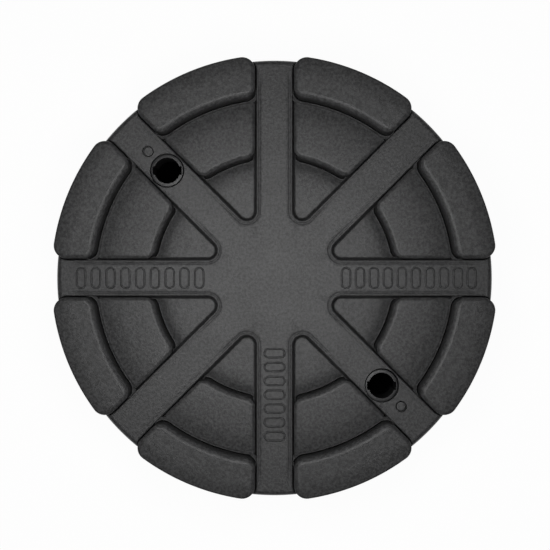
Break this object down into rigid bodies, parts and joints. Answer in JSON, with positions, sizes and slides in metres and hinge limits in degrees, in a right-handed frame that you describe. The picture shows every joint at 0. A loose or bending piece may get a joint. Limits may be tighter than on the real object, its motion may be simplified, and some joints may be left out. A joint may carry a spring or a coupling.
{
  "type": "lift arm rubber pad",
  "caption": "Round black rubber pad for a vehicle lift arm: flat hub and spokes, pockets stepping up to raised rim blocks, sleeved bolt holes.",
  "frame": {"origin": "centre of the flat underside", "axes": "+Z out of the stepped face, +X along a spoke, with the bolt holes at 135 and 315 degrees from it"},
  "size_m": [0.1186, 0.1186, 0.025],
  "materials": {
    "pad_rubber": "satin, fine moulded grain",
    "sleeve_finish": "black coated, semi-matt"
  },
  "bodies": {
    "root": {"pad": "pad_rubber", "left_bolt_sleeve": "sleeve_finish", "right_bolt_sleeve": "sleeve_finish"}
  },
  "joints": []
}
